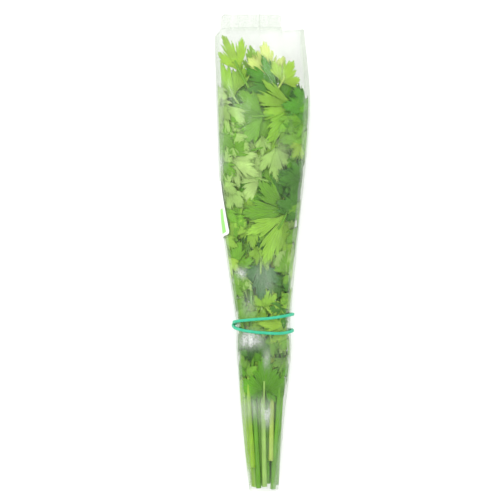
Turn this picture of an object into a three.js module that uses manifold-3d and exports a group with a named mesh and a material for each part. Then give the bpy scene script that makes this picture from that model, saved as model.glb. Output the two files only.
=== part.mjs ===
// A bunch of flat-leaf parsley in a clear tapered sleeve, lying on its back on a table.
// Fourteen cut fronds, each a stalk with its stalklets and pressed leaves, fill the sleeve;
// a rubber band is wound twice round its waist and a sticker is folded over its left flank.
// Millimetres, +Z up, +Y from the cut ends to the leaf tips, origin on the table under the middle.
import * as THREE from "three";
import { mergeVertices } from "three/addons/utils/BufferGeometryUtils.js";
import Module from "manifold-3d";

const wasm = await Module();
wasm.setup();

// ---------------------------------------------------------------- driving dimensions

const CUT_END = -175; // Y of the sleeve's narrow end
const MOUTH = 163; // Y of the sleeve's wide open end
const LIP_END = 175; // Y of the end of the lip on the sleeve's under sheet
const FILM = 0.6; // wall of the sleeve
const ROUNDNESS = 2.3; // exponent of the sleeve's oval section
const SAG = 1.0; // how far the oval is pressed flat on the table
const SIDE_INSET = 1.15; // how far a layer lies in from the side of the oval, for its depth

// Half the sleeve's width, the X of its middle and half its height, each as [Y, value].
const HALF_WIDTH = [
  [-175, 10.9], [-123, 15.6], [-75, 20], [-53, 19.7], [-35, 21.6], [17, 28], [70, 32.2], [112, 34.1],
  [163, 33],
];
const MIDDLE_X = [
  [-175, 1.1], [-123, 0.8], [-75, 1.3], [-35, 0.4], [17, -0.7], [70, 0.4], [112, 0.8], [163, -2],
];
const HALF_HEIGHT = [
  [-175, 9.5], [-123, 10.4], [-75, 11.4], [-35, 12], [17, 14.8], [70, 17], [112, 17.6], [163, 13],
];

const BAND_Y = -53; // middle of the rubber band
const BAND_RADIUS = 1.15;
const BAND_GAP = 0.45; // between the band and the film
const BAND_LIFT = 2 * BAND_RADIUS + BAND_GAP + 0.9; // the sleeve bends up to leave the band room
const BAND_LIFT_REACH = 45;

const BLADE = 0.7; // thickness of a leaf blade
const FIRST_LAYER = 1.7; // depth of the outermost leaves under the film's outer face
const LAYER_PITCH = 1.55;
const STALK_BASE = 1.85; // stalk radius at the cut end
const STALK_TOP = 1.25; // stalk radius where it forks
const STEM_RUN = 12; // how far a stalklet follows its leaf's heading before the leaf
const STALKLET_BASE = 1.15;
const STALKLET_TIP = 0.6;
const STRAND_SIDES = 5;
const CLEARANCE = 0.35; // round a stalk that passes through a leaf of another frond

// ---------------------------------------------------------------- small maths

const degrees = (a) => (a * Math.PI) / 180;

// Smooth curve through [position, value] stations.
function along(stations, at) {
  const last = stations.length - 1;
  let i = 0;
  while (i < last - 1 && at > stations[i + 1][0]) i += 1;
  const slope = (k) => {
    const [a, b] = [stations[Math.max(k - 1, 0)], stations[Math.min(k + 1, last)]];
    return (b[1] - a[1]) / (b[0] - a[0]);
  };
  const [[y0, v0], [y1, v1]] = [stations[i], stations[i + 1]];
  const span = y1 - y0;
  const t = Math.min(1, Math.max(0, (at - y0) / span));
  const [t2, t3] = [t * t, t * t * t];
  return (
    v0 * (2 * t3 - 3 * t2 + 1) + slope(i) * span * (t3 - 2 * t2 + t) +
    v1 * (3 * t2 - 2 * t3) + slope(i + 1) * span * (t3 - t2)
  );
}

// ---------------------------------------------------------------- the sleeve's section

function liftAt(y) {
  const away = Math.min(1, Math.abs(y - BAND_Y) / BAND_LIFT_REACH);
  return BAND_LIFT * Math.cos((away * Math.PI) / 2) ** 2;
}

function sectionAt(y) {
  const halfHeight = along(HALF_HEIGHT, y);
  const lift = liftAt(y);
  return {
    halfWidth: along(HALF_WIDTH, y), middleX: along(MIDDLE_X, y), halfHeight, lift,
    middle: halfHeight - SAG + lift,
  };
}

// Right half of the section from the top centre round to the bottom centre, with arc lengths.
const HALF_STEPS = 40;
const rings = new Map();
function ringAt(y) {
  const key = Math.round(y * 10);
  if (!rings.has(key)) {
    const { halfWidth, halfHeight, lift, middle } = sectionAt(y);
    const points = [];
    let length = 0;
    for (let i = 0; i <= HALF_STEPS; i += 1) {
      const angle = (Math.PI * i) / HALF_STEPS;
      const x = halfWidth * Math.abs(Math.sin(angle)) ** (2 / ROUNDNESS);
      const up = Math.sign(Math.cos(angle)) * Math.abs(Math.cos(angle)) ** (2 / ROUNDNESS);
      const z = Math.max(lift, middle + halfHeight * up);
      if (i) length += Math.hypot(x - points[i - 1].x, z - points[i - 1].z);
      points.push({ x: i === HALF_STEPS ? 0 : x, z, length });
    }
    rings.set(key, points);
  }
  return rings.get(key);
}
const halfGirthAt = (y) => ringAt(y)[HALF_STEPS].length;

// The shell at a depth under the film. girth is the arc length from the top centre, + towards +X.
function onShell(girth, y, depth) {
  const ring = ringAt(y);
  const half = halfGirthAt(y);
  const wrapped = girth - 2 * half * Math.round(girth / (2 * half));
  const reach = Math.abs(wrapped);
  let i = 1;
  while (i < HALF_STEPS && ring[i].length < reach) i += 1;
  const [a, b] = [ring[i - 1], ring[i]];
  const t = (reach - a.length) / (b.length - a.length || 1);
  const { halfWidth, middleX, halfHeight, middle } = sectionAt(y);
  const x = Math.sign(wrapped || 1) * (a.x + (b.x - a.x) * t) * (1 - (SIDE_INSET * depth) / halfWidth);
  const z = middle + (a.z + (b.z - a.z) * t - middle) * (1 - depth / halfHeight);
  return new THREE.Vector3(middleX + x, y, z);
}

function shellNormal(girth, y, depth) {
  const step = 0.5;
  const round = onShell(girth + step, y, depth).sub(onShell(girth - step, y, depth));
  const on = onShell(girth, y + step, depth).sub(onShell(girth, y - step, depth));
  return round.cross(on).normalize();
}

// Girth coordinate of a point on the upper side at a depth, from its X.
function girthOf(x, y, depth) {
  const ring = ringAt(y);
  const { halfWidth, middleX } = sectionAt(y);
  const reach = Math.abs(x - middleX) / (1 - (SIDE_INSET * depth) / halfWidth);
  let i = 1;
  while (i < HALF_STEPS / 2 && ring[i].x < reach) i += 1;
  const [a, b] = [ring[i - 1], ring[i]];
  const t = Math.min(1, (reach - a.x) / (b.x - a.x));
  return Math.sign(x - middleX || 1) * (a.length + (b.length - a.length) * t);
}

// ---------------------------------------------------------------- geometry to solids

function solidFrom(geometry) {
  const bare = geometry.clone();
  bare.deleteAttribute("normal");
  bare.deleteAttribute("uv");
  const merged = mergeVertices(bare, 1e-4);
  return new wasm.Manifold(new wasm.Mesh({
    numProp: 3,
    vertProperties: merged.attributes.position.array,
    triVerts: new Uint32Array(merged.index.array),
  }));
}

function geometryFrom(solid) {
  const mesh = solid.getMesh();
  return new THREE.BufferGeometry()
    .setAttribute("position", new THREE.BufferAttribute(new Float32Array(mesh.vertProperties), 3))
    .setIndex(new THREE.BufferAttribute(new Uint32Array(mesh.triVerts), 1));
}

function warp(geometry, move) {
  const place = geometry.attributes.position;
  for (let i = 0; i < place.count; i += 1) {
    const p = move(new THREE.Vector3().fromBufferAttribute(place, i));
    place.setXYZ(i, p.x, p.y, p.z);
  }
  return geometry;
}

// A tapered round strand: a closed cylinder bent along a smooth curve, a ring at each of stops.
// A stop is a place along the bends, 2.5 being halfway from the third to the fourth.
function strand(points, stops, radiusAt) {
  const curve = new THREE.CatmullRomCurve3(points);
  const last = points.length - 1;
  const steps = stops.length - 1;
  const rings = [];
  for (const stop of stops) {
    const tangent = curve.getTangent(stop / last);
    const before = rings.length ? rings.at(-1).normal : new THREE.Vector3(1, 0, 0);
    const normal = before.clone().addScaledVector(tangent, -before.dot(tangent)).normalize();
    rings.push({ at: curve.getPoint(stop / last), normal, binormal: tangent.clone().cross(normal) });
  }
  return warp(new THREE.CylinderGeometry(1, 1, 1, STRAND_SIDES, steps), (v) => {
    const i = Math.round((v.y + 0.5) * steps);
    const r = radiusAt(stops[i]);
    const { at, normal, binormal } = rings[i];
    return at.clone().addScaledVector(normal, v.x * r).addScaledVector(binormal, -v.z * r);
  });
}

// A closed plate from flat triangles of [a, b] corners: both faces alike, with a rim between.
function plate(corners, triangles, place) {
  const turned = triangles.map(([i, j, k]) => {
    const [p, q, r] = [corners[i], corners[j], corners[k]];
    const area = (q[0] - p[0]) * (r[1] - p[1]) - (q[1] - p[1]) * (r[0] - p[0]);
    return area > 0 ? [i, j, k] : [i, k, j];
  });
  const edges = new Set(turned.flatMap(([i, j, k]) => [`${i} ${j}`, `${j} ${k}`, `${k} ${i}`]));
  const n = corners.length;
  const faces = turned.flatMap(([i, j, k]) => [[i, j, k], [i + n, k + n, j + n]]);
  for (const edge of edges) {
    const [i, j] = edge.split(" ").map(Number);
    if (!edges.has(`${j} ${i}`)) faces.push([i + n, j + n, j], [i + n, j, i]);
  }
  const positions = [1, -1].flatMap((side) => corners.flatMap(([a, b]) => place(a, b, side).toArray()));
  return new THREE.BufferGeometry()
    .setAttribute("position", new THREE.Float32BufferAttribute(positions, 3))
    .setIndex(faces.flat());
}

// ---------------------------------------------------------------- leaves

// Half the margin of a leaflet from its notch to its tip: [share of its half angle, of its length].
const HALF_MARGIN = [[0.95, 0.7], [0.6, 0.64], [0.36, 0.88]];
const NOTCH = 0.33; // how near the base the notch between two leaflets comes
const RIB_POINTS = [0.38, 0.7];
const SIDE_LENGTH = 0.84; // side leaflets against the middle one

// The three leaflets of a leaf: angle of each rib from the leaf's heading, half angle and length.
function leafletsOf(leaf) {
  const half = leaf.spread / 3;
  return [-1, 0, 1].map((side) => ({
    side, angle: side * 2 * half, half, length: leaf.length * (side ? SIDE_LENGTH : 1),
  }));
}

const along2 = (angle, length) => [length * Math.cos(angle), length * Math.sin(angle)];

function bladeOutline(leaf) {
  const corners = [[0, 0]];
  const triangles = [];
  const add = (point) => corners.push(point) - 1;
  const notches = [-1.5, -0.5, 0.5, 1.5].map((k) =>
    add(along2(k * 2 * (leaf.spread / 3), leaf.length * NOTCH)));
  leafletsOf(leaf).forEach(({ side, angle, half, length }) => {
    const ribs = RIB_POINTS.map((share) => add(along2(angle, share * length)));
    const tip = add(along2(angle, length));
    const rib = [0, ...ribs, tip];
    for (const hand of [-1, 1]) {
      const margin = HALF_MARGIN.map(([turn, share]) =>
        add(along2(angle + hand * turn * half, share * length)));
      const edge = [0, notches[side + 1 + (hand + 1) / 2], ...margin, tip];
      triangles.push(...between(rib, edge));
    }
  });
  return { corners, triangles };
}

// Triangles between two point rows that start and end together.
function between(one, other) {
  const found = [];
  let [i, j] = [0, 0];
  while (i < one.length - 1 || j < other.length - 1) {
    const stepOne = j === other.length - 1 ||
      (i < one.length - 1 && (i + 1) / (one.length - 1) < (j + 1) / (other.length - 1));
    const next = stepOne ? one[i + 1] : other[j + 1];
    if (next !== one[i] && next !== other[j] && one[i] !== other[j]) {
      found.push([one[i], other[j], next]);
    }
    if (stepOne) i += 1;
    else j += 1;
  }
  return found;
}

// Girth and Y of a point of a leaf given along its heading and across it.
function spread(leaf, a, b) {
  const turn = degrees(leaf.heading);
  return [
    leaf.girth + a * Math.sin(turn) + b * Math.cos(turn),
    leaf.y + a * Math.cos(turn) - b * Math.sin(turn),
  ];
}

function leafPoint(leaf, a, b, off = 0) {
  const [girth, y] = spread(leaf, a, b);
  return onShell(girth, y, leaf.depth).addScaledVector(shellNormal(girth, y, leaf.depth), off);
}

function bladeOf(leaf) {
  const { corners, triangles } = bladeOutline(leaf);
  return solidFrom(plate(corners, triangles, (a, b, side) => leafPoint(leaf, a, b, -side * BLADE / 2)));
}

// ---------------------------------------------------------------- fronds

// The stalks run side by side: their places across and up the core, as shares of its half sizes.
const STALK_PLACES = [
  [-0.6, 0.76], [0, 0.76], [0.6, 0.76],
  [-0.9, 0.28], [-0.3, 0.28], [0.3, 0.28], [0.9, 0.28],
  [-0.9, -0.28], [-0.3, -0.28], [0.3, -0.28], [0.9, -0.28],
  [-0.6, -0.76], [0, -0.76], [0.6, -0.76],
];
const CORE_WIDTH = [[-175, 7], [-123, 10], [-85, 12], [0, 13.5], [40, 14], [110, 16]];
const CORE_HEIGHT = [[-175, 7.3], [-123, 7.2], [-85, 6.7], [0, 6.9], [40, 7], [110, 8]];
const CORE_SHIFT = [[-175, 1.9], [-123, 1], [-60, 0], [110, 0]];

// Each frond: Y of its cut end, its colour and its leaves. A leaf on the upper side is given by the
// X and Y of its base; one on the sides or underneath by "round", its share of the half girth from
// the top centre. Then heading in degrees clockwise from +Y, length, layer under the film with 0 the
// outermost, half spread in degrees, and how far its stalklet runs along its heading before it.
const FRONDS = [
  { cut: -173, tone: "dark", leaves: [
    { x: -4.4, y: 74, heading: -100, length: 27, layer: 1 },
    { x: -11.7, y: -0.4, heading: -150, length: 19, layer: 2 },
    { x: -9.5, y: -63, heading: -142, length: 22, layer: 1, half: 50 },
  ] },
  { cut: -172, tone: "mid", leaves: [
    { x: 0, y: 52, heading: -75, length: 28, layer: 2 },
    { x: -1, y: -8.4, heading: 182, length: 27, layer: 1 },
    { x: 5.8, y: -59.5, heading: 170, length: 19, layer: 1, half: 50 },
    { x: 1.5, y: -102, heading: 0, length: 26, layer: 0, half: 112 },
  ] },
  { cut: -153, tone: "light", leaves: [
    { x: 14, y: 122, heading: 32, length: 21, layer: 1 },
    { x: 10, y: 77, heading: 180, length: 26, layer: 4, half: 62 },
    { x: 15.3, y: 37.6, heading: 25, length: 29, layer: 2 },
    { x: 14.6, y: -12, heading: 175, length: 30, layer: 2, half: 60 },
  ] },
  { cut: -172.5, tone: "mid", leaves: [
    { x: -20.4, y: 112, heading: -28, length: 31, layer: 1 },
    { x: -20, y: 40, heading: -12, length: 26, layer: 3, run: 8 },
    { x: -14, y: -37.6, heading: 195, length: 17, layer: 1 },
  ] },
  { cut: -171, tone: "light", leaves: [
    { x: -16, y: 130, heading: -22, length: 31, layer: 0, half: 42 },
    { x: -1, y: 110, heading: -10, length: 33, layer: 4 },
  ] },
  { cut: -170, tone: "dark", leaves: [
    { x: 4, y: 127, heading: 0, length: 26, layer: 2 },
    { x: 15.3, y: 118, heading: 45, length: 14, layer: 3 },
    { x: 19, y: 104, heading: -5, length: 15, layer: 5 },
    { x: 22.6, y: 115.7, heading: 75, length: 12, layer: 3 },
  ] },
  { cut: -172, tone: "mid", leaves: [
    { x: 32.9, y: 88.7, heading: -120, length: 15, layer: 2, run: 5 },
    { x: 18.3, y: 29.6, heading: -95, length: 40, layer: 1, half: 62 },
    { x: 17.5, y: 27, heading: -150, length: 42, layer: 0, half: 50 },
    { x: 19, y: -4, heading: -102, length: 13, layer: 1, half: 50 },
    { x: 19.7, y: -51.5, heading: -95, length: 31, layer: 0, half: 45, run: 4 },
  ] },
  { cut: -169, tone: "dark", leaves: [
    { round: -0.68, y: 48, heading: -12, length: 35, layer: 0 },
    { round: -0.7, y: -5, heading: 10, length: 31, layer: 0 },
    { x: -17, y: -14, heading: 178, length: 22, layer: 0, half: 50 },
  ] },
  { cut: -172, tone: "light", leaves: [
    { round: 1, y: 118, heading: 8, length: 34, layer: 1 },
    { round: -0.68, y: 96, heading: -10, length: 36, layer: 0 },
    { x: -22, y: 66, heading: -20, length: 26, layer: 3 },
  ] },
  { cut: -168, tone: "mid", leaves: [
    { round: 0.68, y: 96, heading: 12, length: 35, layer: 2 },
    { round: 0.68, y: 48, heading: 12, length: 34, layer: 3 },
  ] },
  { cut: -173, tone: "light", leaves: [
    { x: 1.5, y: 98, heading: -92, length: 32, layer: 0, half: 84 },
    { x: 22.6, y: 104, heading: -140, length: 34, layer: 1, half: 60 },
    { x: 25, y: 107, heading: 25, length: 13, layer: 0 },
    { x: 31, y: 77, heading: -155, length: 13, layer: 4 },
  ] },
  { cut: -171, tone: "dark", leaves: [
    { round: 0.98, y: 22, heading: 14, length: 32, layer: 0 },
    { round: -0.68, y: -58, heading: -4, length: 22, layer: 0, half: 64 },
  ] },
  { cut: -173, tone: "mid", leaves: [
    { round: 1, y: 70, heading: -10, length: 34, layer: 1 },
    { round: 1, y: -32, heading: -8, length: 27, layer: 0 },
    { round: 1, y: -84, heading: 6, length: 22, layer: 0 },
  ] },
  { cut: -170, tone: "dark", leaves: [
    { round: 0.7, y: -5, heading: -12, length: 31, layer: 1 },
    { round: 0.68, y: -60, heading: 10, length: 23, layer: 1 },
  ] },
];
const DEFAULT_HALF = 75;

function stalkPoint(place, y) {
  const [across, up] = STALK_PLACES[place];
  const { middle } = sectionAt(y);
  return new THREE.Vector3(
    along(CORE_SHIFT, y) + across * along(CORE_WIDTH, y), y, middle + up * along(CORE_HEIGHT, y),
  );
}

for (const leaf of FRONDS.flatMap((frond) => frond.leaves)) {
  leaf.depth = FIRST_LAYER + LAYER_PITCH * leaf.layer;
  leaf.girth = leaf.x === undefined
    ? leaf.round * halfGirthAt(leaf.y)
    : girthOf(leaf.x, leaf.y, leaf.depth);
  leaf.spread = degrees(leaf.half ?? DEFAULT_HALF);
  leaf.run ??= STEM_RUN;
}

// ---------------------------------------------------------------- stalks and stalklets

const STEM_CLIMB = 16; // how far below that it leaves the stalk
const STEM_DEPTH = 3; // how much deeper than the leaf it lies there
// Heights at which the stalks bend along with the sleeve.
const STALK_STATIONS = [-130, -98, -75, -53, -31, -8, 20, 60];
const LEAST_STRETCH = 9; // between the last of these and the fork

const turnPoint = (leaf) => {
  const [girth, y] = spread(leaf, -leaf.run, 0);
  return onShell(girth, y, leaf.depth + STEM_DEPTH);
};
const leaveY = (leaf) =>
  Math.max(-160, Math.min(leaf.y, leaf.y - leaf.run * Math.cos(degrees(leaf.heading))) - STEM_CLIMB);

// The bends of a stalklet from a point of the stalk into the blade.
function entryPoints(start, leaf) {
  const turn = turnPoint(leaf);
  const rise = start.clone().lerp(turn, 0.5);
  return [rise, turn, leafPoint(leaf, 0, 0), leafPoint(leaf, 0.3 * leaf.length, 0)];
}

// Centre lines of one frond: the stalk up to its top leaf, and a stalklet to each other leaf.
// free is the first bend that may be nudged.
function centreLines(number) {
  const { cut, leaves } = FRONDS[number];
  const [top, ...others] = [...leaves].sort((a, b) => leaveY(b) - leaveY(a));
  const end = leaveY(top);
  const between = STALK_STATIONS.filter((y) => y < end - LEAST_STRETCH);
  const stalk = [cut, ...between, end].map((y) => stalkPoint(number, y));
  const lines = [{
    frond: number, points: [...stalk, ...entryPoints(stalk.at(-1), top)], free: stalk.length,
  }];
  for (const leaf of others) {
    const start = stalkPoint(number, Math.min(leaveY(leaf), end - 2));
    lines.push({ frond: number, points: [start, ...entryPoints(start, leaf)], free: 1 });
  }
  return lines;
}

function radiusAlong(line, bend) {
  const fork = line.free - 1;
  const beyond = (bend - fork) / (line.points.length - 1 - fork);
  if (fork === 0) return STALKLET_BASE + (STALKLET_TIP - STALKLET_BASE) * beyond;
  if (bend > fork) return STALK_TOP + (STALKLET_TIP - STALK_TOP) * beyond;
  return STALK_BASE + (STALK_TOP - STALK_BASE) * (bend / fork);
}

// Rings at every bend, and halfway too round the turn.
function strandOf(line, extra = 0) {
  const stops = [];
  for (let bend = 0; bend < line.points.length; bend += 1) {
    stops.push(bend);
    if (bend >= line.free && bend < line.points.length - 2) stops.push(bend + 0.5);
  }
  return solidFrom(strand(line.points, stops, (bend) => radiusAlong(line, bend) + extra));
}

// ---------------------------------------------------------------- sleeve, band and label

const SLEEVE_SIDES = 28;
const SLEEVE_STATIONS = [
  CUT_END, -140, -108, -91, -77, -65, -53, -41, -29, -14, 4, 28, 52, 75, 97, 115, 131, 146, MOUTH,
];
const LIP_SIDES = [12, 19]; // the sides of the mouth, counted round from the top, that carry the lip
const MOUTH_DROP_LEFT = 6;
const MOUTH_DROP_RIGHT = 3;

function atAngle(angle, y, depth) {
  const { halfWidth, middleX, halfHeight, lift, middle } = sectionAt(y);
  const [s, c] = [Math.sin(angle), Math.cos(angle)];
  const up = Math.sign(c) * Math.abs(c) ** (2 / ROUNDNESS) * halfHeight;
  return new THREE.Vector3(
    middleX + Math.sign(s) * Math.abs(s) ** (2 / ROUNDNESS) * (halfWidth - SIDE_INSET * depth), y,
    middle + (Math.max(lift, middle + up) - middle) * (1 - depth / halfHeight),
  );
}

function mouthAt(angle) {
  const side = Math.round((angle / (2 * Math.PI)) * SLEEVE_SIDES);
  if (side >= LIP_SIDES[0] && side <= LIP_SIDES[1]) return LIP_END;
  const flank = Math.abs(Math.sin(angle)) ** 6;
  return MOUTH - flank * (angle > Math.PI ? MOUTH_DROP_LEFT : MOUTH_DROP_RIGHT);
}

function sleeve() {
  const outer = SLEEVE_STATIONS.map((y) => new THREE.Vector2(2, y));
  const inner = SLEEVE_STATIONS.map((y) => new THREE.Vector2(1, y)).reverse();
  const tube = new THREE.LatheGeometry([...outer, ...inner, outer[0]], SLEEVE_SIDES);
  return solidFrom(warp(tube, (v) => {
    const angle = (Math.atan2(v.x, v.z) + 2 * Math.PI) % (2 * Math.PI);
    const y = v.y === MOUTH ? mouthAt(angle) : v.y;
    return atAngle(angle, y, Math.hypot(v.x, v.z) > 1.5 ? 0 : FILM);
  }));
}

// Y of the band's two turns, round from where they cross on the lower left flank.
const BAND_TURNS = [
  [[0, -52.6], [0.097, -51.5], [0.347, -48.8], [0.597, -45.6], [0.85, -48.5], [1, -52.6]],
  [[0, -52.6], [0.097, -54.8], [0.4, -59.3], [0.597, -57.7], [0.85, -56.5], [1, -52.6]],
];
const BAND_START = degrees(-125);
const BAND_STEPS = 76;
const BAND_SIDES = 6;
const BAND_HOP = 0.12; // share of a turn over which the upper turn climbs over the lower
const BAND_HOP_HEIGHT = 2 * BAND_RADIUS + 0.6;

function shellNormalAt(angle, y) {
  const step = 0.02;
  const round = atAngle(angle + step, y, 0).sub(atAngle(angle - step, y, 0));
  const on = atAngle(angle, y + 1, 0).sub(atAngle(angle, y - 1, 0));
  return round.cross(on).normalize();
}

// The middle of the band after some turns, 0 to 2, and the way off the sleeve there.
function bandAt(travel) {
  const turns = (travel + 2) % 2;
  const turn = turns < 1 ? 0 : 1;
  const angle = BAND_START + 2 * Math.PI * turns;
  const y = along(BAND_TURNS[turn], turns - turn);
  const out = shellNormalAt(angle, y);
  const near = Math.min(1, Math.abs(turns - 1) / BAND_HOP);
  const hop = BAND_HOP_HEIGHT * Math.cos((near * Math.PI) / 2) ** 2;
  return { at: atAngle(angle, y, 0).addScaledVector(out, BAND_RADIUS + BAND_GAP + hop), out };
}

function band() {
  const ring = new THREE.TorusGeometry(10, 1, BAND_SIDES, BAND_STEPS);
  return solidFrom(warp(ring, (v) => {
    const travel = (((Math.atan2(v.y, v.x) + 2 * Math.PI) % (2 * Math.PI)) / (2 * Math.PI)) * 2;
    const { at, out } = bandAt(travel);
    const tangent = bandAt(travel + 0.005).at.sub(bandAt(travel - 0.005).at).normalize();
    const side = out.clone().cross(tangent).normalize();
    const off = tangent.clone().cross(side);
    return at.addScaledVector(off, (Math.hypot(v.x, v.y) - 10) * BAND_RADIUS)
      .addScaledVector(side, v.z * BAND_RADIUS);
  }));
}

const LABEL_LOW = { x: -23.4, y: 12.8 }; // lower corner on the upper side
const LABEL_HIGH = { x: -29.7, y: 52 };
const LABEL_WIDTH = 26;
const LABEL_THICK = 0.6;
const LABEL_GAP = 0.5;
const LABEL_CORNER = [[0, 2.4], [0.8, 0.8], [2.4, 0]]; // inset along the edge, inset from the end

function label() {
  const low = girthOf(LABEL_LOW.x, LABEL_LOW.y, 0);
  const length = LABEL_HIGH.y - LABEL_LOW.y;
  const lean = (girthOf(LABEL_HIGH.x, LABEL_HIGH.y, 0) - low) / length;
  const middle = [5.4, 8.4, 11.4, 14.4, 17.4, 20.4].map((across) => [across, 0]);
  const far = LABEL_CORNER.map(([across, inset]) => [LABEL_WIDTH - across, inset]).reverse();
  const columns = [...LABEL_CORNER, ...middle, ...far];
  const rows = [0, 0.5, 1];
  const corners = columns.flatMap(([across, inset]) =>
    rows.map((share) => [inset + share * (length - 2 * inset), -across]));
  const triangles = [];
  for (let i = 0; i < columns.length - 1; i += 1) {
    for (let j = 0; j < rows.length - 1; j += 1) {
      const [a, b] = [i * rows.length + j, (i + 1) * rows.length + j];
      triangles.push([a, b, a + 1], [b, b + 1, a + 1]);
    }
  }
  return solidFrom(plate(corners, triangles, (a, b, side) => {
    const girth = low + lean * a + b;
    const y = LABEL_LOW.y + a - lean * b;
    return onShell(girth, y, 0)
      .addScaledVector(shellNormal(girth, y, 0), LABEL_GAP + (side < 0 ? LABEL_THICK : 0));
  }));
}

// ---------------------------------------------------------------- putting the bunch together

const SETTLE_ROUNDS = 80;
const SAMPLES = 8; // per stretch between two bends
const SPARE = 1; // least distance asked for between two strands

// Nudges the free bends of strands of different fronds apart.
function settle(lines) {
  for (let round = 0; round < SETTLE_ROUNDS; round += 1) {
    const sampled = lines.map((line) => {
      const curve = new THREE.CatmullRomCurve3(line.points);
      const count = (line.points.length - 1) * SAMPLES;
      return Array.from({ length: count + 1 }, (_, i) => ({
        at: curve.getPoint(i / count),
        bend: Math.round(i / SAMPLES),
        radius: radiusAlong(line, i / SAMPLES),
      }));
    });
    for (let i = 0; i < lines.length; i += 1) {
      for (let j = i + 1; j < lines.length; j += 1) {
        if (lines[i].frond !== lines[j].frond) pushApart(lines[i], sampled[i], lines[j], sampled[j]);
      }
    }
  }
}

const isFree = (line, bend) => bend >= line.free && bend < line.points.length - 2;

function pushApart(one, samples, other, others) {
  for (const a of samples) {
    for (const b of others) {
      const apart = a.at.clone().sub(b.at);
      const lacking = a.radius + b.radius + SPARE - apart.length();
      if (lacking <= 0) continue;
      const push = apart.normalize().multiplyScalar(0.3 * lacking);
      if (isFree(one, a.bend)) one.points[a.bend].add(push);
      if (isFree(other, b.bend)) other.points[b.bend].sub(push);
    }
  }
}

// The biggest connected piece of a solid; loose scraps are left out.
function largest(solid) {
  const pieces = solid.decompose();
  return pieces.reduce((best, piece) => (piece.volume() > best.volume() ? piece : best));
}

// One solid for each frond; a blade that another frond's stalk passes through is open round it.
function fronds() {
  const lines = FRONDS.map((_, number) => centreLines(number));
  settle(lines.flat());
  const strands = lines.map((group) => group.map((line) => strandOf(line)));
  const swollen = lines.map((group) => group.map((line) => strandOf(line, CLEARANCE)));
  return FRONDS.map((frond, number) => {
    const passing = swollen.filter((_, other) => other !== number).flat();
    const blades = frond.leaves.map((leaf) =>
      passing.reduce((blade, stalk) => blade.subtract(stalk), bladeOf(leaf)));
    return largest([...strands[number], ...blades].reduce((all, piece) => all.add(piece)));
  });
}

const TONES = { light: 0xa9cf6b, mid: 0x6f9f45, dark: 0x47793a };

function piece(name, solid, colour, more = {}) {
  const material = new THREE.MeshStandardMaterial({ color: colour, roughness: 0.6, ...more });
  const mesh = new THREE.Mesh(geometryFrom(solid), material);
  mesh.name = name;
  return mesh;
}

const bunch = new THREE.Group();
bunch.name = "parsley_bunch";
bunch.add(piece("sleeve", sleeve(), 0xf2f6f2, { transparent: true, opacity: 0.25, roughness: 0.15 }));
bunch.add(piece("band", band(), 0x3cc896));
bunch.add(piece("label", label(), 0xf7f8f5));
fronds().forEach((solid, number) => {
  const name = `frond_${String(number + 1).padStart(2, "0")}`;
  bunch.add(piece(name, solid, TONES[FRONDS[number].tone]));
});

export default bunch;
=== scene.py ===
"""A bunch of flat-leaf parsley in a clear film sleeve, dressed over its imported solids.

Every frond's plain stalk and blades are replaced by ribbed stalks and lobed, veined leaflets on the
same centre lines and in the same layers; the sleeve, band and label get their real thin forms.
"""
import math
import random

import bmesh
import bpy
import numpy as np
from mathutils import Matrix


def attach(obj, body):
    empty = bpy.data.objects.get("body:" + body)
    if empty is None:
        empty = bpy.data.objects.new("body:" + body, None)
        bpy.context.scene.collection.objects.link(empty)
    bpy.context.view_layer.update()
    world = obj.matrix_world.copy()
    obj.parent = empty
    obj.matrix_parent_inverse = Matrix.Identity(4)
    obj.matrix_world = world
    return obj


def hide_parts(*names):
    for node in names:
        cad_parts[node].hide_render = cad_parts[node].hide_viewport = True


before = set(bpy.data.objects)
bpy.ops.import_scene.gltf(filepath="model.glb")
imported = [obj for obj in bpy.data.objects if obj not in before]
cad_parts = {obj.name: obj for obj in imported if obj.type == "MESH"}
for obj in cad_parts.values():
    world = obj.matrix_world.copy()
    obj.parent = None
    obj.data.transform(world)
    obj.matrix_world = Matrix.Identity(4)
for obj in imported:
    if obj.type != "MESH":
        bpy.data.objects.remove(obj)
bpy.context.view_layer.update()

MM = 0.001

# ---- driving dimensions, millimetres

CUT_END = -175.0
MOUTH = 163.0
LIP_END = 175.0
ROUNDNESS = 2.3
SAG = 1.0
SIDE_INSET = 1.15
HALF_WIDTH = [
    (-175, 10.9), (-123, 15.6), (-75, 20), (-53, 19.7), (-35, 21.6), (17, 28), (70, 32.2), (112, 34.1),
    (163, 33),
]
MIDDLE_X = [
    (-175, 1.1), (-123, 0.8), (-75, 1.3), (-35, 0.4), (17, -0.7), (70, 0.4), (112, 0.8), (163, -2),
]
HALF_HEIGHT = [
    (-175, 9.5), (-123, 10.4), (-75, 11.4), (-35, 12), (17, 14.8), (70, 17), (112, 17.6), (163, 13),
]
BAND_Y = -53.0
BAND_RADIUS = 1.15
BAND_GAP = 0.45
BAND_LIFT = 2 * BAND_RADIUS + BAND_GAP + 0.9
BAND_LIFT_REACH = 45.0

FIRST_LAYER = 1.7
LAYER_PITCH = 1.55
LEAF_THICKNESS = 0.26
SIDE_LENGTH = 0.84
STALK_BASE = 1.85
STALK_TOP = 1.25
STALKLET_BASE = 1.15
STALKLET_TIP = 0.6
STEM_RUN = 12.0
STEM_CLIMB = 16.0
STEM_DEPTH = 3.0

# ---- colours, as seen, 0 to 255

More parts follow.
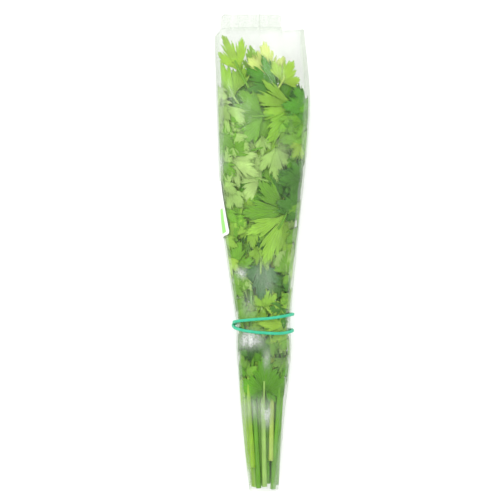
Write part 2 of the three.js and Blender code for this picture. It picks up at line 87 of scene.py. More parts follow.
# The deep and dark tints, given to many leaves laid deep in the bunch, are partly those leaves' own darker
# green and partly painted shade of the bunch's inside.
TINTS = {
    "fresh": (156, 208, 66), "lime": (178, 224, 74), "yellow": (212, 230, 128), "hazy": (192, 228, 132),
    "mid": (126, 184, 54), "leafy": (100, 170, 22), "deep": (80, 140, 42), "dark": (56, 108, 32),
    "grey": (80, 138, 76), "sage": (178, 220, 116), "wide": (120, 182, 42),
    "shade": (86, 156, 38), "warm": (142, 198, 56),
}
STALK_TINTS = {
    "pale": (162, 206, 98), "green": (124, 182, 46), "tan": (180, 210, 84), "vivid": (106, 170, 22),
    "yellow": (148, 196, 36),
}
BAND_TEAL = (44, 186, 140)
BAND_DUSTY = (96, 214, 178)
STRIPE_GREEN = (150, 226, 110)


def linear(colour):
    """A colour given as seen, 0 to 255, as the shader wants it."""
    shares = [c / 255 for c in colour]
    return [s / 12.92 if s <= 0.04045 else ((s + 0.055) / 1.055) ** 2.4 for s in shares]


# ---- the fronds

def leaf(x, y, heading, length, layer, tint, half=75, run=STEM_RUN, share=None):
    """One leaf as in the part's source: its base, heading in degrees from +Y to +X, length, layer in
    from the film, tint, half spread in degrees, and how far its stalklet follows the heading.
    """
    return dict(x=x, y=y, heading=heading, length=length, layer=layer, tint=tint, half=half, run=run,
                share=share)


def under_leaf(share, y, heading, length, layer, tint, half=75):
    """A leaf on a flank or underneath, placed by its share of the half girth."""
    return leaf(None, y, heading, length, layer, tint, half, share=share)


# Each frond: Y of its stalk's cut end, its stalk's tint and its leaves.
FRONDS = [
    (-173, "vivid", [
        leaf(-4.4, 74, -100, 27, 1, "sage"), leaf(-11.7, -0.4, -150, 19, 2, "lime"),
        leaf(-9.5, -63, -142, 22, 1, "deep", half=50)]),
    (-172, "pale", [
        leaf(0, 52, -75, 28, 2, "hazy"), leaf(-1, -8.4, 182, 27, 1, "grey"),
        leaf(5.8, -59.5, 170, 19, 1, "mid", half=50), leaf(1.5, -102, 0, 26, 0, "leafy", half=112)]),
    (-153, "tan", [
        leaf(14, 122, 32, 21, 1, "lime"), leaf(10, 77, 180, 26, 4, "sage", half=62),
        leaf(15.3, 37.6, 25, 29, 2, "deep"), leaf(14.6, -12, 175, 30, 2, "deep", half=60)]),
    (-172.5, "pale", [
        leaf(-20.4, 112, -28, 31, 1, "fresh"), leaf(-20, 40, -12, 26, 3, "lime", run=8),
        leaf(-14, -37.6, 195, 17, 1, "sage")]),
    (-171, "green", [
        leaf(-16, 130, -22, 31, 0, "lime", half=42), leaf(-1, 110, -10, 33, 4, "mid")]),
    (-170, "vivid", [
        leaf(4, 127, 0, 26, 2, "yellow"), leaf(15.3, 118, 45, 14, 3, "mid"),
        leaf(19, 104, -5, 15, 5, "dark"), leaf(22.6, 115.7, 75, 12, 3, "deep")]),
    (-172, "vivid", [
        leaf(32.9, 88.7, -120, 15, 2, "sage", run=5), leaf(18.3, 29.6, -95, 40, 1, "wide", half=62),
        leaf(17.5, 27, -150, 42, 0, "fresh", half=50), leaf(19, -4, -102, 13, 1, "sage", half=50),
        leaf(19.7, -51.5, -95, 31, 0, "lime", half=45, run=4)]),
    (-169, "green", [
        under_leaf(-0.68, 48, -12, 35, 0, "mid"), under_leaf(-0.7, -5, 10, 31, 0, "fresh"),
        leaf(-17, -14, 178, 22, 0, "sage", half=50)]),
    (-172, "green", [
        under_leaf(1, 118, 8, 34, 1, "fresh"), under_leaf(-0.68, 96, -10, 36, 0, "leafy"),
        leaf(-22, 66, -20, 26, 3, "sage")]),
    (-168, "pale", [
        under_leaf(0.68, 96, 12, 35, 2, "mid"), under_leaf(0.68, 48, 12, 34, 3, "fresh")]),
    (-173, "green", [
        leaf(1.5, 98, -92, 32, 0, "wide", half=74), leaf(22.6, 104, -140, 34, 1, "warm", half=60),
        leaf(25, 107, 25, 13, 0, "dark"), leaf(31, 77, -155, 13, 4, "lime")]),
    (-171, "pale", [
        under_leaf(0.98, 22, 14, 32, 0, "leafy"), under_leaf(-0.68, -58, -4, 22, 0, "mid", half=64)]),
    (-173, "green", [
        under_leaf(1, 70, -10, 34, 1, "mid"), under_leaf(1, -32, -8, 27, 0, "fresh"),
        under_leaf(1, -84, 6, 22, 0, "leafy")]),
    (-170, "vivid", [
        under_leaf(0.7, -5, -12, 31, 1, "mid"), under_leaf(0.68, -60, 10, 23, 1, "fresh")]),
]

# ---- the sleeve's section

def along(stations, at):
    """Smooth curve through (position, value) stations, at one place or many."""
    ys = np.array([s[0] for s in stations], float)
    vs = np.array([s[1] for s in stations], float)
    slopes = np.empty_like(vs)
    slopes[1:-1] = (vs[2:] - vs[:-2]) / (ys[2:] - ys[:-2])
    slopes[0] = (vs[1] - vs[0]) / (ys[1] - ys[0])
    slopes[-1] = (vs[-1] - vs[-2]) / (ys[-1] - ys[-2])
    i = np.clip(np.searchsorted(ys, at, side="left") - 1, 0, len(ys) - 2)
    span = ys[i + 1] - ys[i]
    t = np.clip((at - ys[i]) / span, 0, 1)
    return (vs[i] * (2 * t**3 - 3 * t**2 + 1) + slopes[i] * span * (t**3 - 2 * t**2 + t)
            + vs[i + 1] * (3 * t**2 - 2 * t**3) + slopes[i + 1] * span * (t**3 - t**2))


def lift_at(y):
    """How far the sleeve's underside bends up off the table, to leave the band room."""
    away = np.minimum(1, np.abs(y - BAND_Y) / BAND_LIFT_REACH)
    return BAND_LIFT * np.cos(away * math.pi / 2) ** 2


HALF_STEPS = 40
RING_REACH = 200.0
RING_PITCH = 0.1


def middle_at(y):
    """Height of the middle of the section."""
    return along(HALF_HEIGHT, y) - SAG + lift_at(y)


def oval(angle, y):
    """X off the sleeve's middle line, and height, by angle from the top."""
    sine, cosine = np.sin(angle), np.cos(angle)
    x = along(HALF_WIDTH, y) * np.sign(sine) * np.abs(sine) ** (2 / ROUNDNESS)
    up = np.sign(cosine) * np.abs(cosine) ** (2 / ROUNDNESS)
    return x, np.maximum(lift_at(y), middle_at(y) + along(HALF_HEIGHT, y) * up)


def ring_table():
    """Right half of the section in rows along Y, from top centre to bottom centre."""
    y = np.arange(-RING_REACH, RING_REACH + RING_PITCH, RING_PITCH)[:, None]
    angle = (math.pi * np.arange(HALF_STEPS + 1) / HALF_STEPS)[None, :]
    x, z = oval(angle, y)
    x[:, -1] = 0
    steps = np.hypot(np.diff(x, axis=1), np.diff(z, axis=1))
    length = np.concatenate([np.zeros((len(y), 1)), np.cumsum(steps, axis=1)], axis=1)
    return x, z, length


RING_X, RING_Z, RING_LENGTH = ring_table()


def row_of(y):
    """Row of the section table for a Y."""
    rows = np.rint((y + RING_REACH) / RING_PITCH).astype(int)
    return np.clip(rows, 0, len(RING_X) - 1)


def half_girth_at(y):
    """Arc length from the top centre to the bottom centre."""
    return RING_LENGTH[row_of(y), -1]


def on_shell(girth, y, depth):
    """Points at a depth under the film; girth is the arc length from the top, + towards +X."""
    girth, y, depth = np.broadcast_arrays(girth, y, depth)
    row = row_of(y)
    half = RING_LENGTH[row, -1]
    wrapped = girth - 2 * half * np.rint(girth / (2 * half))
    reach = np.abs(wrapped)
    i = 1 + np.sum(RING_LENGTH[row, 1:-1] < reach[..., None], axis=-1)
    start, end = RING_LENGTH[row, i - 1], RING_LENGTH[row, i]
    t = (reach - start) / np.maximum(end - start, 1e-9)
    middle = middle_at(y)
    x = RING_X[row, i - 1] + (RING_X[row, i] - RING_X[row, i - 1]) * t
    z = RING_Z[row, i - 1] + (RING_Z[row, i] - RING_Z[row, i - 1]) * t
    x = np.where(wrapped < 0, -1.0, 1.0) * x * (1 - SIDE_INSET * depth / along(HALF_WIDTH, y))
    z = middle + (z - middle) * (1 - depth / along(HALF_HEIGHT, y))
    return np.stack([along(MIDDLE_X, y) + x, y, z], axis=-1)


def unit(vectors):
    """The vectors at length 1."""
    return vectors / np.maximum(np.linalg.norm(vectors, axis=-1, keepdims=True), 1e-12)


def shell_normal(girth, y, depth):
    """The way off the shell at a place."""
    step = 0.5
    sideways = on_shell(girth + step, y, depth) - on_shell(girth - step, y, depth)
    lengthways = on_shell(girth, y + step, depth) - on_shell(girth, y - step, depth)
    return unit(np.cross(sideways, lengthways))


def off_shell(girth, y, depth, rise):
    """Points on the shell at a depth, moved outwards by a rise."""
    return on_shell(girth, y, depth) + shell_normal(girth, y, depth) * rise[..., None]


def girth_of(x, y, depth):
    """Arc length from the top centre to a point of the upper side at a depth, from its X."""
    row = row_of(y)
    quarter = HALF_STEPS // 2
    off = x - along(MIDDLE_X, y)
    reach = abs(off) / (1 - SIDE_INSET * depth / along(HALF_WIDTH, y))
    girth = np.interp(reach, RING_X[row, :quarter + 1], RING_LENGTH[row, :quarter + 1])
    return math.copysign(girth, off)


# ---- leaves and centre lines

def settle_leaf(one):
    """Works out a leaf's arc place and depth from the way it is given."""
    one["depth"] = FIRST_LAYER + LAYER_PITCH * one["layer"]
    if one["share"] is None:
        one["girth"] = girth_of(one["x"], one["y"], one["depth"])
    else:
        one["girth"] = one["share"] * half_girth_at(one["y"])
    one["spread"] = math.radians(one["half"])


def leaf_place(one, ahead, across):
    """Girth and Y of a point of a leaf given along its heading and across it."""
    turn = math.radians(one["heading"])
    return (one["girth"] + ahead * math.sin(turn) + across * math.cos(turn),
            one["y"] + ahead * math.cos(turn) - across * math.sin(turn))


# Each frond's place among the stalks, as shares of the core's half width and half height, and the
# core's half width, half height and shift to +X, as (Y, value).
STALK_PLACES = [
    (-0.6, 0.76), (0, 0.76), (0.6, 0.76),
    (-0.9, 0.28), (-0.3, 0.28), (0.3, 0.28), (0.9, 0.28),
    (-0.9, -0.28), (-0.3, -0.28), (0.3, -0.28), (0.9, -0.28),
    (-0.6, -0.76), (0, -0.76), (0.6, -0.76),
]
CORE_WIDTH = [(-175, 7), (-123, 10), (-85, 12), (0, 13.5), (40, 14), (110, 16)]
CORE_HEIGHT = [(-175, 7.3), (-123, 7.2), (-85, 6.7), (0, 6.9), (40, 7), (110, 8)]
CORE_SHIFT = [(-175, 1.9), (-123, 1), (-60, 0), (110, 0)]
STALK_STATIONS = (-130, -98, -75, -53, -31, -8, 20, 60)
LEAST_STRETCH = 9
LOWEST_FORK = -160
TURNED_IN = 0.3  # share of a leaf's length that its stalklet runs on under it


def stalk_point(place, y):
    """Centre of a frond's stalk at a Y."""
    across, up = STALK_PLACES[place]
    return np.array([along(CORE_SHIFT, y) + across * along(CORE_WIDTH, y), y,
                     middle_at(y) + up * along(CORE_HEIGHT, y)], float)


def leave_y(one):
    """Y at which a leaf's stalklet leaves the stalk."""
    turn_y = one["y"] - one["run"] * math.cos(math.radians(one["heading"]))
    return max(LOWEST_FORK, min(one["y"], turn_y) - STEM_CLIMB)


def entry_points(start, one):
    """Bends of a stalklet from where it starts to the inside of its leaf."""
    turn = on_shell(*leaf_place(one, -one["run"], 0), one["depth"] + STEM_DEPTH)
    base = on_shell(one["girth"], one["y"], one["depth"])
    inside = on_shell(*leaf_place(one, TURNED_IN * one["length"], 0), one["depth"])
    return [start + (turn - start) / 2, turn, base, inside]


def centre_lines(number):
    """The stalk of one frond up to its top leaf, and a stalklet to each of its other leaves."""
    cut, _, leaves = FRONDS[number]
    top, *others = sorted(leaves, key=lambda one: -leave_y(one))
    end = leave_y(top)
    heights = [cut, *[y for y in STALK_STATIONS if y < end - LEAST_STRETCH], end]
    stalk = [stalk_point(number, y) for y in heights]
    lines = [dict(frond=number, points=np.array([*stalk, *entry_points(stalk[-1], top)]), free=len(stalk))]
    for one in others:
        start = stalk_point(number, min(leave_y(one), end - 2))
        lines.append(dict(frond=number, points=np.array([start, *entry_points(start, one)]), free=1))
    return lines


def smooth_curve(points, places):
    """Centripetal curve through points, at places counted along them."""
    places = np.clip(places, 0, len(points) - 1)
    padded = np.vstack([2 * points[0] - points[1], points, 2 * points[-1] - points[-2]])
    i = np.minimum(places.astype(int), len(points) - 2)
    t = (places - i)[:, None]
    a, b, c, d = padded[i], padded[i + 1], padded[i + 2], padded[i + 3]
    gap = [np.maximum(np.sqrt(np.linalg.norm(q - p, axis=1)), 1e-4)[:, None]
           for p, q in ((a, b), (b, c), (c, d))]
    leave = ((b - a) / gap[0] - (c - a) / (gap[0] + gap[1]) + (c - b) / gap[1]) * gap[1]
    arrive = ((c - b) / gap[1] - (d - b) / (gap[1] + gap[2]) + (d - c) / gap[2]) * gap[1]
    return (b + leave * t + (-3 * b + 3 * c - 2 * leave - arrive) * t**2
            + (2 * b - 2 * c + leave + arrive) * t**3)


def radius_along(line, bend):
    """Radius of a stalk or stalklet at places counted along its bends."""
    fork = line["free"] - 1
    beyond = np.clip((bend - fork) / (len(line["points"]) - 1 - fork), 0, 1)
    if fork == 0:
        return STALKLET_BASE + (STALKLET_TIP - STALKLET_BASE) * beyond
    below = STALK_BASE + (STALK_TOP - STALK_BASE) * bend / fork
    return np.where(bend > fork, STALK_TOP + (STALKLET_TIP - STALK_TOP) * beyond, below)


SETTLE_ROUNDS = 80
SAMPLES = 8
SPARE = 1.0
NUDGE = 0.3


def settle_lines(lines):
    """Nudges the free bends of strands of different fronds apart, as in the part's source."""
    runs = [np.arange((len(line["points"]) - 1) * SAMPLES + 1) / SAMPLES for line in lines]
    owner = np.repeat(np.arange(len(lines)), [len(places) for places in runs])
    bend = np.floor(np.concatenate(runs) + 0.5).astype(int)
    first = np.array([line["free"] for line in lines])[owner]
    last = np.array([len(line["points"]) - 2 for line in lines])[owner]
    free = np.nonzero((bend >= first) & (bend < last))[0]
    radius = np.concatenate([radius_along(line, places) for line, places in zip(lines, runs)])
    wanted = radius[free][:, None] + radius + SPARE
    frond = np.array([line["frond"] for line in lines])[owner]
    related = frond[free][:, None] == frond
    for _ in range(SETTLE_ROUNDS):
        at = np.concatenate([smooth_curve(line["points"], places) for line, places in zip(lines, runs)])
        apart = at[free][:, None] - at
        distance = np.linalg.norm(apart, axis=2)
        lacking = wanted - distance
        lacking[(lacking < 0) | related] = 0
        push = (apart * (NUDGE * lacking / np.maximum(distance, 1e-9))[:, :, None]).sum(axis=1)
        for k, sample in enumerate(free):
            lines[owner[sample]]["points"][bend[sample]] += push[k]


# ---- mesh helpers

def show(thing):
    """Puts an object in the scene."""
    bpy.context.scene.collection.objects.link(thing)


def mesh_object(name, bm, *materials):
    """An object in the scene from a bmesh, with its finishes."""
    mesh = bpy.data.meshes.new(name)
    bm.to_mesh(mesh)
    bm.free()
    for material in materials:
        mesh.materials.append(material)
    made = bpy.data.objects.new(name, mesh)
    show(made)
    return made


def new_piece(name, bm, *materials):
    """A smooth piece from a bmesh in millimetres, riding on the part's body."""
    bmesh.ops.scale(bm, vec=(MM, MM, MM), verts=bm.verts)
    piece = mesh_object(name, bm, *materials)
    piece.data.polygons.foreach_set("use_smooth", [True] * len(piece.data.polygons))
    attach(piece, "root")
    return piece


def thicken(piece, thickness, offset=-1, under=0):
    """Gives a laid sheet its thickness; under is the number of the added side's finish."""
    wall = piece.modifiers.new("wall", "SOLIDIFY")
    wall.thickness = thickness * MM
    wall.offset = offset
    wall.material_offset = under


def sheet_pattern(columns, rows):
    """A flat grid of faces, and its points' places across, -1 to 1, and ahead, 0 to 1."""
    bm = bmesh.new()
    bmesh.ops.create_grid(bm, x_segments=columns, y_segments=rows, size=1)
    pattern = bpy.data.meshes.new("pattern")
    bm.to_mesh(pattern)
    bm.free()
    places = np.empty(len(pattern.vertices) * 3)
    pattern.vertices.foreach_get("co", places)
    places = places.reshape(-1, 3)
    return pattern, places[:, 0], (places[:, 1] + 1) / 2


def lay_sheet(bm, pattern, points, layers=()):
    """Adds a copy of a sheet pattern with its points put in place, and values on its layers."""
    start = len(bm.verts)
    bm.from_mesh(pattern)
    bm.verts.ensure_lookup_table()
    added = bm.verts[start:]
    for vert, point in zip(added, points.tolist()):
        vert.co = point
    for layer, values in layers:
        for vert, value in zip(added, values.tolist()):
            vert[layer] = value
    return added


# ---- leaflets

# One half of a leaflet's margin, rib to base: share of its half angle, share of its length.
# Points and the dips between them take turns.
MARGIN_TURN = [0, 0.11, 0.19, 0.29, 0.38, 0.48, 0.57, 0.64, 0.72, 0.79, 0.88, 0.94, 1.0]
MARGIN_REACH = [1.0, 0.90, 0.95, 0.82, 0.88, 0.74, 0.60, 0.75, 0.70, 0.82, 0.73, 0.70, 0.34]
TOOTH_SWELL = 0.4
JOINED_BASE_WIDTH = 0.96
FREE_BASE_WIDTH = 0.35
FULL_WIDTH_AT = 0.5
NECK = 0.04
MOST_BOW = 0.09
TONE_RANGE = (0.86, 1.12)
VEIN_DEPTH = 0.11
VEIN_HALF_WIDTH = 0.035
QUILT_HEIGHT = 0.04
WAVE_HEIGHT = 0.2
BLADE_LIFT = 0.06
VEIN_TURNS = (0.0, 0.36, 0.76)

FINE = sheet_pattern(columns=48, rows=11)
PLAIN = sheet_pattern(columns=24, rows=4)


def leaflet_margin(across, draw):
    """Turn and reach of the margin for places across a leaflet, its teeth drawn a little unlike."""
    turn = np.empty_like(across)
    reach = np.empty_like(across)
    for side in (-1, 1):
        on_side = across * side >= 0
        jitter = np.array([1] + [draw.uniform(0.93, 1.05) for _ in MARGIN_REACH[1:]])
        peaks = np.array(MARGIN_REACH) * jitter
        place = np.abs(across[on_side]) * (len(MARGIN_TURN) - 1)
        i = np.minimum(place.astype(int), len(MARGIN_TURN) - 2)
        part = place - i
        turn[on_side] = side * np.interp(place, range(len(MARGIN_TURN)), MARGIN_TURN)
        swell = TOOTH_SWELL * np.abs(peaks[i + 1] - peaks[i]) * 4 * part * (1 - part)
        reach[on_side] = peaks[i] + (peaks[i + 1] - peaks[i]) * part + swell
    return turn, reach


def leaflet_relief(turn, ahead, draw):
    """How far a leaflet's blade stands off its layer: sunk veins, quilted between, a soft wave."""
    relief = QUILT_HEIGHT * np.sin(ahead * 26 - np.abs(turn) * 15)
    for vein in VEIN_TURNS:
        relief -= VEIN_DEPTH * np.exp(-((np.abs(turn) - vein) * ahead / VEIN_HALF_WIDTH) ** 2)
    phase = draw.uniform(0, 6.28)
    relief += WAVE_HEIGHT * ahead * np.sin(turn * 4.2 + phase) + BLADE_LIFT
    return relief


def add_leaflet(bm, layers, sheet, one, side, draw):
    """Lays one leaflet of a leaf on its layer; side is -1, 0 or 1 from left to right."""
    half = one["spread"] / 3
    angle = side * 2 * half
    length = one["length"] * (SIDE_LENGTH if side else 1)
    pattern, across, ahead = sheet
    turn, reach = leaflet_margin(across, draw)
    near = NECK + (1 - NECK) * ahead
    out = near * reach
    free_side = turn * side > 0
    base_width = np.where(free_side, FREE_BASE_WIDTH, JOINED_BASE_WIDTH)
    width = base_width + (1 - base_width) * np.clip(out / FULL_WIDTH_AT, 0, 1) ** 1.3
    bow = draw.uniform(-MOST_BOW, MOST_BOW) * out**2
    theta = angle + bow + turn * half * width
    girth, y = leaf_place(one, out * length * np.cos(theta), out * length * np.sin(theta))
    rise = leaflet_relief(turn, near, draw)
    points = off_shell(girth, y, one["depth"], rise)
    plan_layer, tint_layer = layers
    plan = np.stack([turn, out, np.full_like(turn, draw.random())], axis=1)
    tone = np.array(linear(TINTS[one["tint"]])) * draw.uniform(*TONE_RANGE)
    tint = np.tile(np.append(tone, 1.0), (len(turn), 1))
    lay_sheet(bm, pattern, points, [(plan_layer, plan), (tint_layer, tint)])


def leaves_piece(name, sheet, leaves, draw):
    """One piece from leaves, each of three leaflets; their undersides take the second finish."""
    bm = bmesh.new()
    layers = (bm.verts.layers.float_vector.new("leaf_plan"), bm.verts.layers.float_color.new("leaf_tint"))
    for one in leaves:
        for side in (-1, 0, 1):
            add_leaflet(bm, layers, sheet, one, side, draw)
    piece = new_piece(name, bm, LEAF_TOP, LEAF_UNDER)
    thicken(piece, LEAF_THICKNESS, under=1)
    return piece


# ---- stalks

STALK_SIDES = 16
RIBS = 8
RIB_DEPTH = 0.06
RINGS_PER_BEND = 5
STALK_SEAM_GAP = 0.002


def round_line(centres, ups, sides, ring, angle, radius):
    """Points round a centre line, each by its ring and its angle from the ring's up."""
    return (centres[ring] + ups[ring] * (np.cos(angle) * radius)[:, None]
            + sides[ring] * (np.sin(angle) * radius)[:, None])


def add_strand(bm, tint_layer, line, tint):
    """Adds a ribbed, tapered stalk or stalklet round its centre line, still open along its seam."""
    bends = len(line["points"]) - 1
    pattern, across, ahead = sheet_pattern(STALK_SIDES, bends * RINGS_PER_BEND)
    rings = np.unique(np.round(ahead, 6))
    places = rings * bends
    centres = smooth_curve(line["points"], places)
    tangents = unit(np.gradient(centres, axis=0))
    normals = np.empty_like(centres)
    normal = np.array([1.0, 0, 0])
    for k, tangent in enumerate(tangents):
        normal = normal - tangent * normal.dot(tangent)
        normal = normal / np.linalg.norm(normal)
        normals[k] = normal
    binormals = np.cross(tangents, normals)
    ring = np.searchsorted(rings, np.round(ahead, 6))
    angle = across * math.pi
    radius = radius_along(line, places)[ring] * (1 + RIB_DEPTH * np.cos(RIBS * angle))
    points = round_line(centres, normals, binormals, ring, angle, radius)
    tone = np.tile(np.append(linear(tint), 1.0), (len(across), 1))
    lay_sheet(bm, pattern, points, [(tint_layer, tone)])


def strands_piece(name, strands):
    """One piece from (centre line, tint) pairs, its seams merged and its ends capped."""
    bm = bmesh.new()
    tint_layer = bm.verts.layers.float_color.new("leaf_tint")
    for line, tint in strands:
        add_strand(bm, tint_layer, line, STALK_TINTS[tint])
    bmesh.ops.remove_doubles(bm, verts=bm.verts, dist=STALK_SEAM_GAP)
    open_edges = [e for e in bm.edges if e.is_boundary]
    for cap in bmesh.ops.holes_fill(bm, edges=open_edges, sides=0)["faces"]:
        cap.material_index = 1
    bmesh.ops.recalc_face_normals(bm, faces=bm.faces)
    return new_piece(name, bm, STALK, CUT)


# ---- finishes

class Value:
    """A shader socket that sums can be written with, each term as one maths node."""

    def __init__(self, finish, socket):
        self.finish = finish
        self.socket = socket

    def operate(self, operation, *values):
        return self.finish.node("ShaderNodeMath", {"operation": operation}, dict(enumerate(values)))

    def __add__(self, other):
        return self.operate("ADD", self, other)

    def __sub__(self, other):
        return self.operate("SUBTRACT", self, other)

    def __rsub__(self, other):
        return self.operate("SUBTRACT", other, self)

    def __mul__(self, other):
        return self.operate("MULTIPLY", self, other)

    def __truediv__(self, other):
        return self.operate("DIVIDE", self, other)

    def __abs__(self):
        return self.operate("ABSOLUTE", self)

    def clamp(self):
        return self.operate("MAXIMUM", self.operate("MINIMUM", self, 1.0), 0.0)

    def larger(self, other):
        return self.operate("MAXIMUM", self, other)

    def sine(self):
        return self.operate("SINE", self)

    def between(self, low, high):
        """0 below the low value, 1 above the high one and a straight run between."""
        return ((self - low) / (high - low)).clamp()


class Finish:
    """A material built up from nodes."""

    def __init__(self, name):
        self.material = bpy.data.materials.new(name)
        self.material.use_nodes = True
        self.tree = self.material.node_tree
        self.tree.nodes.clear()

    def node(self, kind, settings=None, sockets=None, out=0):
        """Adds a node, with Values linked to its sockets and anything else set on them."""
        made = self.tree.nodes.new(kind)
        for key, value in (settings or {}).items():
            setattr(made, key, value)
        for key, value in (sockets or {}).items():
            if isinstance(value, Value):
                self.tree.links.new(value.socket, made.inputs[key])
            else:
                made.inputs[key].default_value = value
        return Value(self, made.outputs[out]) if made.outputs else None

    def noise(self, scale, detail=2.0, stretch=(1, 1, 1)):
        """Noise in object space, its scale per metre."""
        place = self.node("ShaderNodeTexCoord", out=3)
        place = self.node("ShaderNodeMapping", sockets={"Vector": place, "Scale": stretch})
        sockets = {"Vector": place, "Scale": scale, "Detail": detail}
        return self.node("ShaderNodeTexNoise", sockets=sockets)

    def attribute(self, name, out):
        return self.node("ShaderNodeAttribute", {"attribute_name": name}, out=out)

    def parts(self, vector):
        made = self.tree.nodes.new("ShaderNodeSeparateXYZ")
        self.tree.links.new(vector.socket, made.inputs[0])
        return [Value(self, socket) for socket in made.outputs]

    def mix(self, factor, one, other):
        return self.node("ShaderNodeMix", {"data_type": "RGBA"}, {0: factor, 6: one, 7: other}, out=2)

    def scaled(self, colour, by):
        return self.node("ShaderNodeVectorMath", {"operation": "SCALE"}, {0: colour, "Scale": by})

    def bump(self, height, strength, distance):
        sockets = {"Height": height, "Strength": strength, "Distance": distance}
        return self.node("ShaderNodeBump", sockets=sockets)

    def plastic(self, **sockets):
        named = {key.replace("_", " "): value for key, value in sockets.items()}
        return self.node("ShaderNodeBsdfPrincipled", sockets=named)

    def done(self, shader):
        self.node("ShaderNodeOutputMaterial", sockets={"Surface": shader})
        return self.material


# Shader colours, and half widths of the ribs as shares of a leaflet's length.
RIB_PALE = (0.52, 0.66, 0.30, 1)
UNDER_BLOOM = (0.46, 0.58, 0.36, 1)
PITH_PALE = (0.62, 0.66, 0.38, 1)
PITH_DARK = (0.38, 0.48, 0.18, 1)
# Milky tones of the film, thin and thick; they also colour its painted glare and sheen.
FOG_THIN = (0.72, 0.8, 0.68, 1)
FOG_THICK = (0.97, 0.99, 0.97, 1)
FILM_CLEAR = (0.976, 0.98, 0.973, 1)
WHITE = (1, 1, 1, 1)
MAIN_RIB = 0.016
LOBE_RIB = 0.011
FILM_IOR = 1.45
EDGE_GLOSS = 0.26


def leaf_finish(name, pale, roughness):
    """Parsley blade: its own tint mottled, pale ribs, fine side veins darkened with painted shade, a paler
    margin.
    """
    look = Finish(name)
    across, ahead, draw = look.parts(look.attribute("leaf_plan", 1))
    tint = look.attribute("leaf_tint", 0)
    turn = abs(across)
    rib = 1 - (turn * ahead / MAIN_RIB).clamp()
    for place in VEIN_TURNS[1:]:
        rib = rib.larger(1 - (abs(turn - place) * ahead / LOBE_RIB).clamp())
    waver = look.noise(220)
    shaded_side_vein = (ahead * 34 - turn * 30 + draw * 6 + waver * 2.5).sine().between(0.8, 1.0)
    mottle = look.noise(85, 3.0)
    fine = look.noise(900)
    base = look.scaled(tint, mottle + 0.5)
    light = look.mix(0.5, base, RIB_PALE)
    colour = look.mix(rib * 0.5, base, light)
    # Side veins darkened: painted shade in their sunk lines.
    colour = look.mix(shaded_side_vein * 0.25, colour, look.scaled(tint, 0.6))
    colour = look.mix(ahead.between(0.86, 1.02) * 0.3, colour, light)
    colour = look.mix(pale, colour, UNDER_BLOOM)
    height = rib * -0.4 - shaded_side_vein * 0.35 + mottle * 0.6 + fine * 0.2
    return look.done(look.plastic(
        Base_Color=colour, Roughness=fine * 0.2 + roughness, Specular_IOR_Level=0.25,
        Normal=look.bump(height, 0.8, 0.0007)))


def stalk_finish():
    """Ribbed stalk: its own tint in long streaks."""
    look = Finish("parsley_stalk")
    tint = look.attribute("leaf_tint", 0)
    streak = look.noise(700, 3.0, stretch=(1, 0.06, 1))
    spots = look.noise(120)
    colour = look.scaled(tint, streak * 0.7 + spots * 0.4 + 0.45)
    return look.done(look.plastic(
        Base_Color=colour, Roughness=spots * 0.2 + 0.32, Specular_IOR_Level=0.5,
        Normal=look.bump(streak, 0.3, 0.0003)))


def cut_finish():
    """The cut end of a stalk: pale, wet pith."""
    look = Finish("stalk_cut_end")
    pith = look.noise(1500, 3.0)
    colour = look.mix(pith, PITH_PALE, PITH_DARK)
    return look.done(look.plastic(Base_Color=colour, Roughness=0.45, Normal=look.bump(pith, 0.4, 0.0002)))


def film_finish():
    """Clear thin film: glossy, milky white in soft patches of painted glare and where its haze value says so;
    that value is partly the film's own haze, partly painted glare and sheen.
    """
    look = Finish("clear_film")
    soft = look.noise(38, 3.0, stretch=(1, 0.45, 1))
    fine = look.noise(210, stretch=(1, 0.3, 1))
    beads = look.noise(1300)
    # Soft patches of milky white: painted glare off the film's creases.
    glare_patches = soft.between(0.52, 0.64) * 0.035
    edge = look.node("ShaderNodeFresnel", sockets={"IOR": FILM_IOR})
    spread = (fine.between(0.25, 0.6) * 0.7 + 0.3) * (beads.between(0.4, 0.6) * 0.6 + 0.5)
    # The film's milkiness: its own haze together with painted glare and sheen.
    milk_and_glare = look.attribute("film_haze_and_glare", 2) * spread + glare_patches
    gloss = edge * EDGE_GLOSS + 0.004
    share = gloss + milk_and_glare
    tone = look.mix(milk_and_glare.between(0.2, 0.34), FOG_THIN, FOG_THICK)
    film = look.plastic(
        Base_Color=tone, Metallic=gloss / share, Roughness=fine * 0.1 + 0.06,
        Normal=look.bump(soft * 0.8 + fine * 0.25, 0.5, 0.0012))
    clear = look.node("ShaderNodeBsdfTransparent", sockets={"Color": FILM_CLEAR})
    return look.done(look.node("ShaderNodeMixShader", sockets={0: share, 1: clear, 2: film}))


def band_finish():
    """Teal rubber with a bloom of dust."""
    look = Finish("teal_rubber")
    bloom = look.noise(260, 3.0)
    grain = look.noise(2600)
    teal, dusty = (*linear(BAND_TEAL), 1), (*linear(BAND_DUSTY), 1)
    colour = look.mix(bloom.between(0.35, 0.8) * 0.5, teal, dusty)
    return look.done(look.plastic(
        Base_Color=colour, Roughness=grain * 0.15 + 0.42, Specular_IOR_Level=0.45,
        Normal=look.bump(grain, 0.25, 0.0002)))


STRIPE_UP = (2.0, 19.5)
STRIPE_ACROSS = (2.6, 22.8)
STRIPE_SOFT = 0.15


